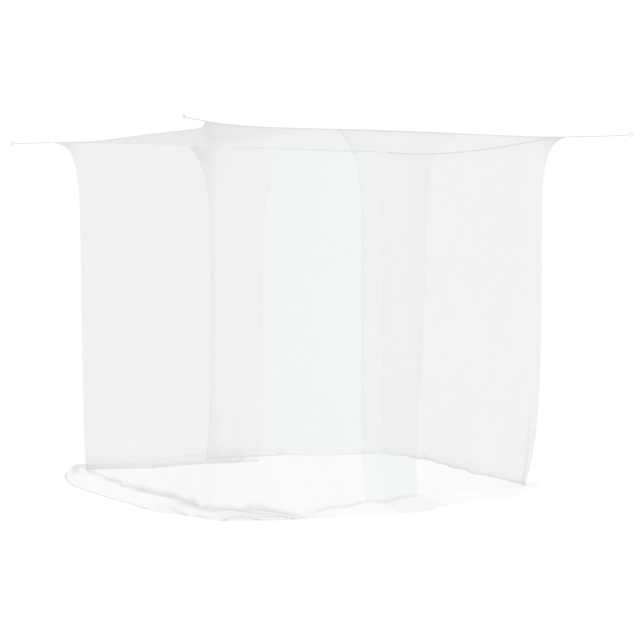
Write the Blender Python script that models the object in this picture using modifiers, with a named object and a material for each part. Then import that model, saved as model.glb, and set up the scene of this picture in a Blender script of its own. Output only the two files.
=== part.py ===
"""Mosquito net canopy: a box of sheer netting, open below, hung by four corner ties.

The roof panel and the walls are thin sheets of net. The front and back walls are each a pair of
curtains that overlap in the middle as an entrance. Every wall runs down to the floor, creases there
and lies outwards on it as a skirt. The corners of the roof are drawn out into horns by tie cords.

Metres, +Z up. The origin is the middle of the roof at the level the ties hold it, so the floor is at
-HEIGHT. The front wall faces -Y.
"""

import math

import bmesh
import bpy
import numpy as np
from mathutils import Vector

# Driving sizes of the net.
LENGTH = 2.20  # front and back walls, along X
WIDTH = 2.00  # side walls, along Y
HEIGHT = 2.10  # roof down to the floor
CLOTH = 0.0012  # thickness of the net as built
SEAM_GAP = 0.0003  # clearance between pieces that are sewn together
CORNER_INSET = 0.0011  # a wall stops this far short of the corner line
TOP_INSET = 0.0013  # a wall hangs this far below the roof's mid surface
ROOF_OVERHANG = 0.0022  # the roof's edge covers the tops of both layers of an entrance

# How the corners are drawn out.
HORN_WIDTH = 0.14  # along the walls, the pull fades by e over this length
HORN_DEPTH = 0.11  # and down them over this depth
SPIKE_WIDTH = 0.035  # the last thin point before the tie fades over this length
SPIKE_DEPTH = 0.016  # and this depth
RISE_WIDTH = 0.24  # the lift of a corner fades over this length
LEAN_WIDTH = 0.50  # a corner that leans out or in down its whole height fades over this length
LEAN_DEPTH = 2.20  # and this depth
ROOF_SAG = 0.035  # the middle of the roof hangs this far below its edges

# How the walls meet the floor.
FLARE_HEIGHT = 0.30  # the push outwards at the foot fades by e over this height
CORNER_SPREAD = 0.15  # a corner's own shift fades along the wall over this length
RIPPLE_LIFT = 0.015  # how far the skirt's low ridges stand off the floor
RIPPLE_PITCHES = (0.36, 0.25)  # of the two waves that make them, so that no two are alike
FOLD_DEPTH = 0.015  # how far the upright folds at the foot stand in and out
FOLD_PITCHES = (0.44, 0.29)
FOLD_HEIGHT = 0.35
HEAP_WIDTH = 0.12  # cloth heaped at a corner of the skirt fades by e over this length

# How the two curtains of an entrance lie on each other.
LAYER_TOP = CLOTH + SEAM_GAP  # between mid surfaces at the roof seam
LAYER_LOW = 0.012  # between mid surfaces lower down
LAYER_FLOOR = 0.0070  # the outer skirt lies this far above the inner one
LAYER_DEPTH = 0.30  # depth over which the layers part
LAYER_FADE = 0.35  # length over which the outer curtain comes back to the wall's plane
DRIFT_HEIGHT = 0.36  # a free edge drifts sideways at the floor, fading by e over this height

# The tie cords.
CORD_DIAMETER = 0.004
CORD_SAG = 0.003
CORD_POINTS = 9
LOOP_RADIUS = 0.010  # the eye at a cord's end, to the middle of its cord

# One row for each corner. side: which side of X and Y it is on. reach: how far the roof's corner is
# drawn out along the diagonal, as a broad horn; tip: the same to the point where the cord starts.
# lean: how far out the corner stands below the horn. rise: how far the tip is lifted. cord_end,
# end_rise: where the cord ends, along the diagonal and up. crease, hem: how far the foot and the hem
# stand from the corner, in X and Y. heap: how high the skirt is heaped there.
CORNERS = {
    "left": dict(side=(-1, 1), reach=0.107, tip=0.222, lean=0.024, rise=0.019, cord_end=0.489,
                 end_rise=0.015, crease=(0.040, 0.000), hem=(-0.060, -0.030), heap=0.020),
    "near": dict(side=(-1, -1), reach=0.080, tip=0.098, lean=0.000, rise=0.032, cord_end=0.400,
                 end_rise=0.035, crease=(-0.090, -0.040), hem=(-0.190, -0.530), heap=0.018),
    "right": dict(side=(1, -1), reach=0.107, tip=0.145, lean=-0.017, rise=0.005, cord_end=0.511,
                  end_rise=0.010, crease=(-0.078, 0.040), hem=(-0.065, -0.090), heap=0.012),
    "back": dict(side=(1, 1), reach=0.100, tip=0.160, lean=0.000, rise=0.010, cord_end=0.490,
                 end_rise=0.012, crease=(0.000, 0.000), hem=(0.100, 0.140), heap=0.010),
}

# One row for each wall, going round from above against the clock. along, out: its own directions in
# plan. edge_sag: how far its top edge hangs in the middle, or stands above the roof's corners. phase:
# where its waves of folds start, in turns.
WALLS = {
    "front": dict(start="near", end="right", along=(1, 0), out=(0, -1), length=LENGTH, edge_sag=-0.016,
                  phase=0.00),
    "right": dict(start="right", end="back", along=(0, 1), out=(1, 0), length=WIDTH, edge_sag=0.040,
                  phase=0.30),
    "back": dict(start="back", end="left", along=(-1, 0), out=(0, 1), length=LENGTH, edge_sag=-0.012,
                 phase=0.62),
    "left": dict(start="left", end="near", along=(0, -1), out=(-1, 0), length=WIDTH, edge_sag=-0.010,
                 phase=0.17),
}

# Where each sheet meets the floor. Columns: distance along the wall, how far out the crease is there,
# how far out the hem is. The corners' own rows come from CORNERS.
FEET = {
    "front": ((0.06, 0.02, 0.56), (0.13, 0.20, 0.62), (0.19, 0.22, 0.645), (0.27, 0.43, 0.65),
              (0.50, 0.41, 0.66), (0.66, 0.335, 0.68), (0.83, 0.31, 0.73), (1.22, 0.165, 0.545),
              (1.63, 0.10, 0.475), (1.88, 0.06, 0.306), (2.10, 0.02, 0.107)),
    "right": ((0.16, -0.08, 0.03), (0.42, -0.07, 0.08), (0.70, -0.06, 0.18), (0.95, -0.02, 0.24),
              (1.22, 0.02, 0.28), (1.55, 0.05, 0.27), (1.80, 0.02, 0.19)),
    "back_outer": ((0.155, 0.01, 0.36), (0.40, 0.04, 0.52), (0.64, 0.11, 0.58), (0.91, 0.11, 0.57),
                   (1.30, 0.10, 0.50)),
    "back_inner": ((0.90, -0.07, 0.57), (1.13, -0.06, 0.54), (1.40, -0.02, 0.46), (1.69, -0.08, 0.34),
                   (1.94, -0.05, 0.20), (2.10, 0.00, 0.08)),
    "left": ((0.11, -0.02, 0.08), (0.33, 0.02, 0.242), (0.68, 0.06, 0.336), (1.10, 0.083, 0.372),
             (1.60, 0.04, 0.358), (1.86, 0.06, 0.330)),
}

# The sheets of the walls. span: the two ends along the wall. A free end names how far it spreads at
# the roof and the depth over which that fades by e, how far it drifts at the floor and the height over
# which that does; an end on a corner has none of these. lies_on: where along the wall the outer curtain
# has left the inner one.
SHEETS = {
    "front_curtain_inner": dict(wall="front", feet="front", span=(0.0, 1.400), spread=(0.0, 0.220),
                                shoulder=0.09, drift=(0.0, -0.175), drift_height=0.72),
    "front_curtain_outer": dict(wall="front", feet="front", span=(0.939, LENGTH), spread=(-0.163, 0.0),
                                shoulder=0.13, drift=(-0.134, 0.0), lies_on=1.65),
    "side_wall_right": dict(wall="right", feet="right", span=(0.0, WIDTH)),
    "back_curtain_outer": dict(wall="back", feet="back_outer", span=(0.0, 1.296), spread=(0.0, 0.160),
                               shoulder=0.15, lies_on=0.75),
    "back_curtain_inner": dict(wall="back", feet="back_inner", span=(0.927, LENGTH),
                               spread=(-0.160, 0.0), shoulder=0.27, drift=(0.060, 0.0)),
    "side_wall_left": dict(wall="left", feet="left", span=(0.0, WIDTH)),
}
WALL_COLUMNS = 24
WALL_ROWS = 15  # from the roof to the crease
SKIRT_ROWS = 4  # from the crease to the hem
ROOF_CELLS = (18, 16)

NET_WHITE = (0.86, 0.88, 0.87, 1.0)
CORD_WHITE = (0.72, 0.73, 0.72, 1.0)


def smooth_through(stations, values, at):
    """Read a smooth curve through a table's rows, a cubic on each stretch with mean slopes at the rows."""
    stations, values = np.asarray(stations), np.asarray(values)
    slopes = np.gradient(values, stations)
    cell = np.clip(np.searchsorted(stations, at) - 1, 0, len(stations) - 2)
    width = stations[cell + 1] - stations[cell]
    part = np.clip((at - stations[cell]) / width, 0.0, 1.0)
    rise = part * part * (3 - 2 * part)
    leaving = part * (1 - part) ** 2 * width * slopes[cell]
    arriving = -part * part * (1 - part) * width * slopes[cell + 1]
    return values[cell] * (1 - rise) + values[cell + 1] * rise + leaving + arriving


def ramp(value):
    """A smooth step from 0 at 0 to 1 at 1."""
    value = np.clip(value, 0.0, 1.0)
    return value * value * (3 - 2 * value)


def bow(part):
    """A parabola that is 0 at both ends and 1 in the middle."""
    return 1 - (2 * part - 1) ** 2


def uneven(along, pitches, phase):
    """An uneven row of folds: sine waves of unlike pitch added up, from -1 to 1."""
    return sum(np.sin(2 * np.pi * (along / pitch + phase)) for pitch in pitches) / len(pitches)


def crowded(parts, crowding):
    """Even parts from 0 to 1, drawn towards both ends."""
    return parts - crowding * np.sin(2 * np.pi * parts) / (2 * np.pi)


def horn(corner, distance, depth):
    """How far a corner draws the cloth outwards along its diagonal, and how far it lifts it."""
    broad = corner["reach"] * np.exp(-distance / HORN_WIDTH - depth / HORN_DEPTH)
    lean = corner["lean"] * np.exp(-distance / LEAN_WIDTH - depth / LEAN_DEPTH)
    last = corner["tip"] - corner["reach"] - corner["lean"]
    point = last * np.exp(-distance / SPIKE_WIDTH - depth / SPIKE_DEPTH)
    lift = corner["rise"] * np.exp(-distance / RISE_WIDTH - depth / HORN_DEPTH)
    return broad + lean + point, lift


def diagonal(corner):
    """The unit direction in plan from the middle of the roof's square corner outwards."""
    return Vector(corner["side"]).normalized()


def foot_tables(sheet):
    """The crease and the hem along one sheet, with the rows of the corners that it reaches."""
    wall, rows = WALLS[sheet["wall"]], list(FEET[sheet["feet"]])
    out = Vector(wall["out"])
    for name, place in ((wall["start"], 0.0), (wall["end"], wall["length"])):
        if place in sheet["span"]:
            corner = CORNERS[name]
            rows.append((place, out.dot(Vector(corner["crease"])), out.dot(Vector(corner["hem"]))))
    return np.array(sorted(rows)).T


def corner_shift(wall, part, along):
    """How far the foot or the hem is carried along the wall by its two corners."""
    direction = Vector(wall["along"])
    start = direction.dot(Vector(CORNERS[wall["start"]][part]))
    end = direction.dot(Vector(CORNERS[wall["end"]][part]))
    return (start * np.exp(-along / CORNER_SPREAD)
            + end * np.exp(-(wall["length"] - along) / CORNER_SPREAD))


def wall_surface(sheet):
    """The mid surface of one wall sheet, as a function of its two parameters from 0 to 1."""
    wall = WALLS[sheet["wall"]]
    length = wall["length"]
    start, end = CORNERS[wall["start"]], CORNERS[wall["end"]]
    stations, crease_row, hem_row = foot_tables(sheet)
    origin = np.array((start["side"][0] * LENGTH / 2, start["side"][1] * WIDTH / 2, -HEIGHT))
    along_axis = np.array((*wall["along"], 0.0))
    out_axis = np.array((*wall["out"], 0.0))
    spread, drift = sheet.get("spread", (0.0, 0.0)), sheet.get("drift", (0.0, 0.0))
    shoulder, drift_height = sheet.get("shoulder", HORN_DEPTH), sheet.get("drift_height", DRIFT_HEIGHT)
    low_end = sheet["span"][0] + (CORNER_INSET if sheet["span"][0] == 0.0 else 0.0)
    high_end = sheet["span"][1] - (CORNER_INSET if sheet["span"][1] == length else 0.0)

    def surface(across, down):
        crease_at = WALL_ROWS / (WALL_ROWS + SKIRT_ROWS)
        wall_part = np.clip(down / crease_at, 0.0, 1.0)
        skirt_part = np.clip((down - crease_at) / (1 - crease_at), 0.0, 1.0)
        height = (HEIGHT - TOP_INSET) * (1 - crowded(wall_part, 0.80))
        depth = HEIGHT - height

        # Where the point is along the wall, between ends that may spread at the roof and drift at the foot.
        roof_share, floor_share = np.exp(-depth / shoulder), np.exp(-height / drift_height)
        low = low_end + spread[0] * roof_share + drift[0] * floor_share
        high = high_end + spread[1] * roof_share + drift[1] * floor_share
        along = low + (high - low) * crowded(across, 0.55)
        near_corner = np.minimum(along, length - along)

        # The foot pushes the wall outwards, and the skirt goes on from the crease to the hem.
        crease = smooth_through(stations, crease_row, along)
        hem = smooth_through(stations, hem_row, along)
        flare = np.exp(-height / FLARE_HEIGHT)
        settled = 1 - np.exp(-near_corner / CORNER_SPREAD)
        fold = FOLD_DEPTH * settled * uneven(along, FOLD_PITCHES, wall["phase"])
        fold = fold * np.exp(-height / FOLD_HEIGHT)
        out = (crease + (hem - crease) * skirt_part) * flare + fold * (1 - skirt_part)
        shift = (corner_shift(wall, "crease", along) * (1 - skirt_part)
                 + corner_shift(wall, "hem", along) * skirt_part) * flare

        # Low ridges in the skirt lift the foot of the wall with them, and heaps stand at the corners.
        ridge = RIPPLE_LIFT * settled * (0.5 + 0.5 * uneven(along, RIPPLE_PITCHES, wall["phase"]))
        lift = ridge * np.sin(np.pi * np.clip(out / np.maximum(hem, 0.05), 0.0, 1.0)) ** 2
        for corner, distance in ((start, along), (end, length - along)):
            heap = corner["heap"] * np.exp(-distance / HEAP_WIDTH)
            lift = lift + heap * np.sin(np.pi * skirt_part) ** 2
        rise = height - wall["edge_sag"] * bow(along / length) * height / HEIGHT + CLOTH / 2 + lift * flare

        # The outer curtain of an entrance stands off the inner one.
        if "lies_on" in sheet:
            free_end_is_low = sheet["span"][0] > 0.0
            beyond = (along - sheet["lies_on"]) * (1 if free_end_is_low else -1)
            share = 1 - ramp(beyond / LAYER_FADE)
            parted = LAYER_TOP + (LAYER_LOW - LAYER_TOP) * (1 - np.exp(-depth / LAYER_DEPTH))
            out = out + parted * share
            rise = rise + LAYER_FLOOR * share * flare

        points = (origin + np.outer(along + shift, along_axis) + np.outer(out, out_axis)
                  + np.outer(rise, (0.0, 0.0, 1.0)))
        for corner, distance in ((start, along), (end, length - along)):
            drawn, lifted = horn(corner, distance, depth)
            points += np.outer(drawn, (*diagonal(corner), 0.0)) + np.outer(lifted, (0.0, 0.0, 1.0))
        return points

    return surface


def roof_surface(across, down):
    """The mid surface of the roof: nearly flat, hung from its edges and drawn out at four corners."""
    x = (LENGTH / 2 + ROOF_OVERHANG) * (2 * crowded(across, 0.80) - 1)
    y = (WIDTH / 2 + ROOF_OVERHANG) * (1 - 2 * crowded(down, 0.80))
    part_x, part_y = x / LENGTH + 0.5, y / WIDTH + 0.5
    sag = (WALLS["front"]["edge_sag"] * bow(part_x) * (1 - part_y)
           + WALLS["back"]["edge_sag"] * bow(part_x) * part_y
           + WALLS["left"]["edge_sag"] * bow(part_y) * (1 - part_x)
           + WALLS["right"]["edge_sag"] * bow(part_y) * part_x
           + ROOF_SAG * bow(part_x) * bow(part_y))
    points = np.column_stack((x, y, CLOTH / 2 - sag))
    for corner in CORNERS.values():
        distance = LENGTH / 2 - corner["side"][0] * x + WIDTH / 2 - corner["side"][1] * y
        drawn, lifted = horn(corner, np.maximum(distance, 0.0), 0.0)
        points += np.outer(drawn, (*diagonal(corner), 0.0)) + np.outer(lifted, (0.0, 0.0, 1.0))
    return points


def make_material(name, colour, roughness):
    """A plain cloth finish."""
    material = bpy.data.materials.new(name)
    material.use_nodes = True
    shader = material.node_tree.nodes["Principled BSDF"]
    shader.inputs["Base Color"].default_value = colour
    shader.inputs["Roughness"].default_value = roughness
    shader.inputs["Metallic"].default_value = 0.0
    material.diffuse_color = colour
    return material


def make_sheet(name, surface, cells, collection):
    """A sheet of net: an open grid laid on its surface, with Solidify for its thickness."""
    grid = bmesh.new()
    bmesh.ops.create_grid(grid, x_segments=cells[0], y_segments=cells[1], size=0.5)
    mesh = bpy.data.meshes.new(name)
    grid.to_mesh(mesh)
    grid.free()
    flat = np.empty(3 * len(mesh.vertices), dtype=np.float32)
    mesh.vertices.foreach_get("co", flat)
    places = flat.reshape(-1, 3).astype(float)
    mesh.vertices.foreach_set("co", surface(places[:, 0] + 0.5, 0.5 - places[:, 1]).ravel())
    mesh.shade_smooth()
    sheet = bpy.data.objects.new(name, mesh)
    sheet.data.materials.append(make_material(name, NET_WHITE, 0.85))
    thickness = sheet.modifiers.new("thickness", "SOLIDIFY")
    thickness.thickness = CLOTH
    thickness.offset = 0.0
    collection.objects.link(sheet)
    return sheet


def corner_point(corner, reach, height):
    """A point on a corner's diagonal, measured outwards from the square corner."""
    flat = Vector((corner["side"][0] * LENGTH / 2, corner["side"][1] * WIDTH / 2)) + diagonal(corner) * reach
    return Vector((*flat, height))


def make_tie(name, corner, collection):
    """A tie cord from the horn's tip, and the eye it ends in."""
    tip = corner["tip"] + ROOF_OVERHANG * math.sqrt(2) + SEAM_GAP
    steps = [index / (CORD_POINTS - 1) for index in range(CORD_POINTS)]
    curve = bpy.data.curves.new(f"tie_cord_{name}", "CURVE")
    curve.dimensions = "3D"
    curve.bevel_depth = CORD_DIAMETER / 2
    curve.bevel_resolution = 2
    curve.use_fill_caps = True
    spline = curve.splines.new("POLY")
    spline.points.add(CORD_POINTS - 1)
    for point, step in zip(spline.points, steps):
        reach = tip + (corner["cord_end"] - tip) * step
        height = corner["rise"] + (corner["end_rise"] - corner["rise"]) * step - CORD_SAG * bow(step)
        point.co = (*corner_point(corner, reach, height + CLOTH / 2), 1.0)
    cord = bpy.data.objects.new(curve.name, curve)
    cord.data.materials.append(make_material(curve.name, CORD_WHITE, 0.7))
    collection.objects.link(cord)

    reach = corner["cord_end"] + SEAM_GAP + LOOP_RADIUS + CORD_DIAMETER / 2
    bpy.ops.mesh.primitive_torus_add(major_radius=LOOP_RADIUS, minor_radius=CORD_DIAMETER / 2,
                                     major_segments=20, minor_segments=8)
    eye = bpy.context.object
    eye.name = eye.data.name = f"tie_loop_{name}"
    eye.location = corner_point(corner, reach, corner["end_rise"] + CLOTH / 2)
    eye.rotation_euler = (math.pi / 2, 0.0, math.atan2(*reversed(diagonal(corner))))
    eye.data.shade_smooth()
    eye.data.materials.append(make_material(eye.name, CORD_WHITE, 0.7))
    for owner in eye.users_collection:
        owner.objects.unlink(eye)
    collection.objects.link(eye)


def build():
    """Clear the scene and make every piece of the canopy."""
    for old in list(bpy.data.objects):
        bpy.data.objects.remove(old, do_unlink=True)
    canopy = bpy.data.collections.new("mosquito_net_canopy")
    bpy.context.scene.collection.children.link(canopy)
    make_sheet("roof_panel", roof_surface, ROOF_CELLS, canopy)
    for name, sheet in SHEETS.items():
        make_sheet(name, wall_surface(sheet), (WALL_COLUMNS, WALL_ROWS + SKIRT_ROWS), canopy)
    for name, corner in CORNERS.items():
        make_tie(name, corner, canopy)


build()
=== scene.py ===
"""Looks of a mosquito net canopy: sheer netting with its hems, seams and creases, and its corner ties.

The canopy is a box of netting, open below. Its roof is drawn out at four corners by taut ties, its front
and back walls are each two curtains that overlap, and every wall creases at the floor and lies outwards
there as a skirt. Each sheet is laid on the surface of its solid and gets the fine folds that show.

Metres, +Z up. The origin is the middle of the roof at the level the ties hold it. The front faces -Y.
"""

import logging
import math
from dataclasses import dataclass, field
from enum import Enum

import bpy
import numpy as np
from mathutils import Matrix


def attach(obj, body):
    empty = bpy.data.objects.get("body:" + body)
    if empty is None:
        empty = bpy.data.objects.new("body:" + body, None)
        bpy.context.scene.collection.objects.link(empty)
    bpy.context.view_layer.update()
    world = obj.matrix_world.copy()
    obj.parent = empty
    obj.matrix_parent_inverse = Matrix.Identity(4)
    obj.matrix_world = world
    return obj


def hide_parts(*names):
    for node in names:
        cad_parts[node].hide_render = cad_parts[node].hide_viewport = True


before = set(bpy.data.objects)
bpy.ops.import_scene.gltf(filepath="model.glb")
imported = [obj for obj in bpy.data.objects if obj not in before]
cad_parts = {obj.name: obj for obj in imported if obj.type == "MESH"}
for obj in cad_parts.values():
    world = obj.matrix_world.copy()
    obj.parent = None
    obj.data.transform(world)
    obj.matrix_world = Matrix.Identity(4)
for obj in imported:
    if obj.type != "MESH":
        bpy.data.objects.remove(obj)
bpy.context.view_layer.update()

BODY = "root"
UP = (0.0, 0.0, 1.0)
log = logging.getLogger("canopy")

# Driving sizes of the net.
LENGTH = 2.20  # front and back walls, along X
WIDTH = 2.00  # side walls, along Y
HEIGHT = 2.10  # roof down to the floor
CLOTH = 0.0012  # thickness of the solids' sheets, whose mid surface is repeated here
SEAM_GAP = 0.0003  # between pieces that are sewn or tied to each other
TOP_INSET = 0.0013  # a wall hangs this far below the roof's mid surface
ROOF_OVERHANG = 0.0022  # the roof reaches this far past the walls' mid surfaces

# How the corners are drawn out: each pull fades by e over a width along the wall and a depth down it.
HORN_WIDTH = 0.14
HORN_DEPTH = 0.11
SPIKE_WIDTH = 0.035
SPIKE_DEPTH = 0.016
RISE_WIDTH = 0.24
LEAN_WIDTH = 0.50
LEAN_DEPTH = 2.20
ROOF_SAG = 0.035  # the middle of the roof hangs this far below its edges

# How the walls meet the floor.
FLARE_HEIGHT = 0.30  # the push outwards at the foot fades by e over this height
CORNER_SPREAD = 0.15  # a corner's own shift fades along the wall over this length
RIPPLE_LIFT = 0.015  # how far the skirt's low ridges stand off the floor, at most
RIPPLE_PITCHES = (0.36, 0.25)  # of the two waves that make them, so that no two are alike
FOLD_DEPTH = 0.015  # how far the upright folds at the foot stand in and out
FOLD_PITCHES = (0.44, 0.29)
FOLD_HEIGHT = 0.35
HEAP_WIDTH = 0.12  # cloth heaped at a corner of the skirt fades by e over this length
HEAP_BLUNTNESS = 0.6  # the power of the heap's sine wave; under 1 it is blunter than the wave
NARROWEST = 0.05  # a skirt's ridges are shaped as if it were at least this wide
FOLD_STANDING = 0.06  # a placed fold stands out of the wall above this height, and lifts the skirt below

# The wrinkles that run along the skirts, and the hem, which wavers and stands up a little.
WRINKLES = ((0.117, 0.71), (0.079, 0.43))  # each wave's pitch, and the length over which it wanders
WRINKLE_WANDER = 0.4  # in turns
WRINKLE_LIFT = 0.010
WRINKLE_START = 0.03  # the way from the crease over which they set in
WRINKLE_GATHER = 0.8  # how much denser the net looks along their crests
HEM_PITCHES = (0.19, 0.11, 0.07)
HEM_WAVER = 0.004
HEM_LIFT = 0.0030
HEM_ROLL = 0.018  # the way from the hem over which that fades
SKIRT_START = 0.02  # the way from the crease over which the skirt's own cover and hem set in
CREASE_SPILL = 1.5  # the crease's bunching reaches this many times further out than up
TIP_WIDTH = 0.05  # the net is drawn together this far from a corner's tip
COOL_FADE = 0.08  # the cooler colour sets in over this length
SEAM_FADE = 0.35  # a corner's seam shows less by e over this height

# How the two curtains of an entrance lie on each other.
LAYER_TOP = CLOTH + SEAM_GAP  # from mid surface to mid surface at the roof
LAYER_LOW = 0.012  # and lower down
LAYER_FLOOR = 0.0070  # and where both lie on the floor
LAYER_DEPTH = 0.30  # they part by e over this depth
LAYER_FADE = 0.35  # past the one under it, a curtain comes back to the wall over this length
DRIFT_HEIGHT = 0.36  # a free end's drift at the floor fades by e over this height

# The tie cords and their eyes.
CORD_DIAMETER = 0.004
CORD_SAG = 0.003
CORD_POINTS = 9
LOOP_RADIUS = 0.010  # of the circle that the eye's cord follows

# How finely the sheets are laid out here.
WALL_ROWS = 160  # from the roof to the crease
SKIRT_ROWS = 60  # from the crease to the hem
CREASE_SHARE = 15 / 19  # the share of a sheet's rows that lies above the crease
WALL_COLUMNS = 300
FOOT_HEIGHT = 0.45  # over which a wall's cover turns into its foot's
ROOF_CELLS = (220, 200)
ROW_CROWDING = 0.80  # how far a wall's rows are drawn towards the roof and the crease
SKIRT_CROWDING = 0.75  # a skirt's rows towards the crease and the hem
COLUMN_CROWDING = 0.55  # a wall's columns towards its side edges
ROOF_CROWDING = 0.80  # the roof's rows and columns towards its edges


def smooth_through(stations: np.ndarray, values: np.ndarray, at: np.ndarray) -> np.ndarray:
    """Read a smooth curve through a table's rows.

    Each stretch between two rows is the cubic that passes through both with the mean slopes there.

    Args:
        stations: the rows' places, rising.
        values: the rows' values.
        at: the places to read.

    Returns:
        The values there, held at the ends.
    """
    slopes = np.gradient(values, stations)
    cell = np.clip(np.searchsorted(stations, at) - 1, 0, len(stations) - 2)
    width = stations[cell + 1] - stations[cell]
    part = np.clip((at - stations[cell]) / width, 0.0, 1.0)
    rise = part * part * (3 - 2 * part)
    leaving = part * (1 - part) ** 2 * width * slopes[cell]
    arriving = -part * part * (1 - part) * width * slopes[cell + 1]
    return values[cell] * (1 - rise) + values[cell + 1] * rise + leaving + arriving


def ramp(value: np.ndarray) -> np.ndarray:
    """A smooth step: 0 up to 0, 1 from 1, and 3 v squared minus 2 v cubed between."""
    value = np.clip(value, 0.0, 1.0)
    return value * value * (3 - 2 * value)


def bow(part: np.ndarray) -> np.ndarray:
    """A parabola that is 0 at both ends and 1 in the middle."""
    return 1 - (2 * part - 1) ** 2


def read_rows(rows: tuple[tuple[float, ...], ...], at: np.ndarray) -> list[np.ndarray]:
    """Read a table with straight lines between its rows.

    Args:
        rows: each row's place, then its values.
        at: the places to read.

    Returns:
        One array for each column of values.
    """
    places, *columns = np.array(rows).T
    return [np.interp(at, places, column) for column in columns]


def uneven(along: np.ndarray, pitches: tuple[float, ...], phase: float) -> np.ndarray:
    """An uneven row of folds: sine waves of unlike pitch added up, from -1 to 1."""
    return sum(np.sin(2 * np.pi * (along / pitch + phase)) for pitch in pitches) / len(pitches)


def wrinkled(way: np.ndarray, along: np.ndarray, phase: float) -> np.ndarray:
    """Wrinkles that run along a skirt: sine waves across it whose crests wander, from -1 to 1.

    Args:
        way: metres from the crease towards the hem.
        along: metres along the wall.
        phase: where the waves start, in turns.

    Returns:
        The waves added up, over their number.
    """
    waves = []
    for pitch, length in WRINKLES:
        wander = WRINKLE_WANDER * np.sin(2 * np.pi * (along / length + phase))
        waves.append(np.sin(2 * np.pi * (way / pitch + wander)))
    return sum(waves) / len(waves)


def crowded(parts: np.ndarray, crowding: float) -> np.ndarray:
    """Even parts from 0 to 1, drawn towards both ends by a share of a sine wave."""
    return parts - crowding * np.sin(2 * np.pi * parts) / (2 * np.pi)


def moved(points: np.ndarray, amount: np.ndarray, direction: tuple[float, ...]) -> np.ndarray:
    """The points, each moved along one direction by its own amount."""
    return points + np.outer(amount, direction)


class Held(Enum):
    """How a sheet of cloth is held."""

    HUNG = "hung"
    STRETCHED = "stretched"


class Edge(Enum):
    """What a wall sheet's side edge is."""

    SEWN = "sewn"  # on a corner of the box
    FREE = "free"  # a curtain's own hemmed edge


@dataclass(frozen=True)
class Corner:
    """One corner of the roof, drawn out along its diagonal.

    Attributes:
        side: which side of X and Y it is on.
        reach: how far it is drawn out as a broad horn.
        tip: the same, to the point where the cord starts.
        lean: how far out the corner stands below the horn.
        rise: how far the tip is lifted.
        rise_widths: the lengths along X and along Y over which that fades by e.
        cord_end: where the cord ends, along the diagonal.
        end_rise: and how high.
        crease: how far the foot stands from the corner, in X and Y.
        hem: how far the hem's corner does.
        heap: how high the skirt is heaped there.
        bunch: how many more layers' worth of net is drawn together at the tip.
        bunch_depth: the depth over which that fades by e.
        roof_bunch: how many more layers' worth of the roof's net is drawn together at the tip.
        seam: how strongly its upright seam shows at the foot.
    """

    side: tuple[int, int]
    reach: float
    tip: float
    lean: float
    rise: float
    cord_end: float
    end_rise: float
    crease: tuple[float, float]
    hem: tuple[float, float]
    heap: float
    bunch: float
    bunch_depth: float = 0.04
    roof_bunch: float = 4.0
    seam: float = 0.0
    rise_widths: tuple[float, float] = (RISE_WIDTH, RISE_WIDTH)

    @property
    def diagonal(self) -> np.ndarray:
        """The unit direction in plan from the middle of the roof outwards."""
        return np.array((*self.side, 0.0)) / math.sqrt(2)

    def pull(self, ways: tuple, depth: np.ndarray | float) -> tuple[np.ndarray, np.ndarray]:
        """How the tie draws the cloth: a broad horn, a slow lean and a last sharp point, added up.

        Each is its own reach times e to the minus distance over its width minus depth over its depth.

        Args:
            ways: metres from the corner along X and along Y, on the cloth.
            depth: metres down the wall from its top edge, or 0 on the roof.

        Returns:
            How far the cloth is drawn outwards along the diagonal, and how far it is lifted.
        """
        distance = ways[0] + ways[1]
        broad = self.reach * np.exp(-distance / HORN_WIDTH - depth / HORN_DEPTH)
        lean = self.lean * np.exp(-distance / LEAN_WIDTH - depth / LEAN_DEPTH)
        last = self.tip - self.reach - self.lean
        point = last * np.exp(-distance / SPIKE_WIDTH - depth / SPIKE_DEPTH)
        far = ways[0] / self.rise_widths[0] + ways[1] / self.rise_widths[1]
        lift = self.rise * np.exp(-far - depth / HORN_DEPTH)
        return broad + lean + point, lift

    def point(self, reach: np.ndarray | float, height: np.ndarray | float) -> np.ndarray:
        """Points on the diagonal, one row each, measured outwards from the square corner."""
        square = np.array((self.side[0] * LENGTH / 2, self.side[1] * WIDTH / 2, 0.0))
        return square + np.outer(reach, self.diagonal) + np.outer(height, UP)


CORNERS = {
    "left": Corner(side=(-1, 1), reach=0.107, tip=0.222, lean=0.030, rise=0.019, cord_end=0.489,
                   end_rise=0.015, crease=(0.018, 0.000), hem=(-0.055, 0.042), heap=0.038,
                   bunch=1.5),
    "near": Corner(side=(-1, -1), reach=0.080, tip=0.098, lean=0.000, rise=0.032, cord_end=0.400,
                   end_rise=0.035, crease=(-0.090, -0.040), hem=(-0.190, -0.530), heap=0.018,
                   bunch=1.0, bunch_depth=0.20, roof_bunch=0.3, rise_widths=(0.20, 0.05)),
    "right": Corner(side=(1, -1), reach=0.107, tip=0.145, lean=-0.017, rise=0.005, cord_end=0.511,
                    end_rise=0.010, crease=(-0.098, 0.040), hem=(-0.065, -0.090), heap=0.012,
                    bunch=3.0, seam=1.6),
    "back": Corner(side=(1, 1), reach=0.100, tip=0.160, lean=0.000, rise=0.010, cord_end=0.490,
                   end_rise=0.012, crease=(0.000, 0.000), hem=(0.100, 0.140), heap=0.010,
                   bunch=0.3, roof_bunch=0.6),
}


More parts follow.
